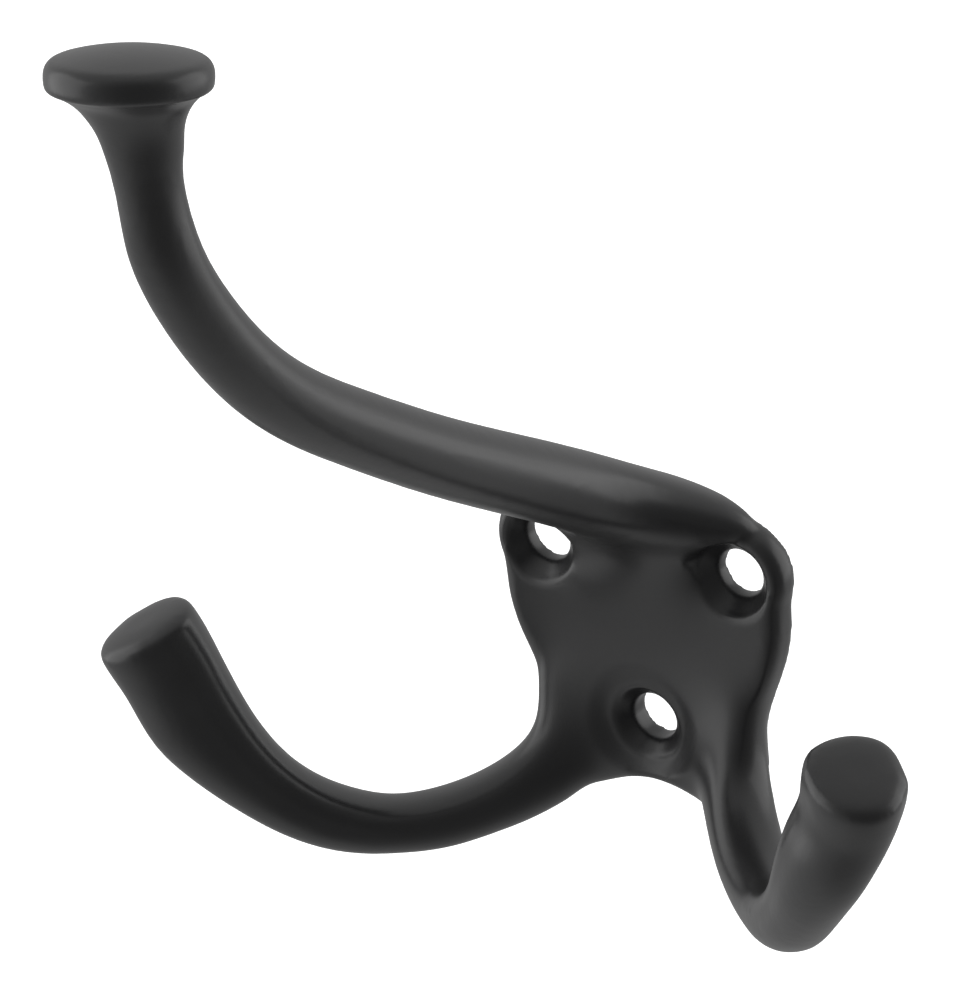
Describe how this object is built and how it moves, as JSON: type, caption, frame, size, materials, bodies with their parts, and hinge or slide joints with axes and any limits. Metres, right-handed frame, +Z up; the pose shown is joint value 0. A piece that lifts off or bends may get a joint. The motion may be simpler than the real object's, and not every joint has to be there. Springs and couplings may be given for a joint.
{
  "type": "coat hook",
  "caption": "Cast wall hook for coats and hats: a screw-on plate with a long upper prong ending in a knob and curved arms below, in one piece.",
  "frame": {"origin": "on the wall face in the symmetry plane, halfway between the row of upper screws and the lower screw", "axes": "+Z up the wall, +Y into the wall, +X sideways, so the prongs reach out towards -Y"},
  "size_m": [0.0914, 0.0794, 0.11],
  "materials": {
    "satin_black": "satin black coating over a smooth casting"
  },
  "bodies": {
    "root": {"coat_hook": "satin_black"}
  },
  "joints": []
}
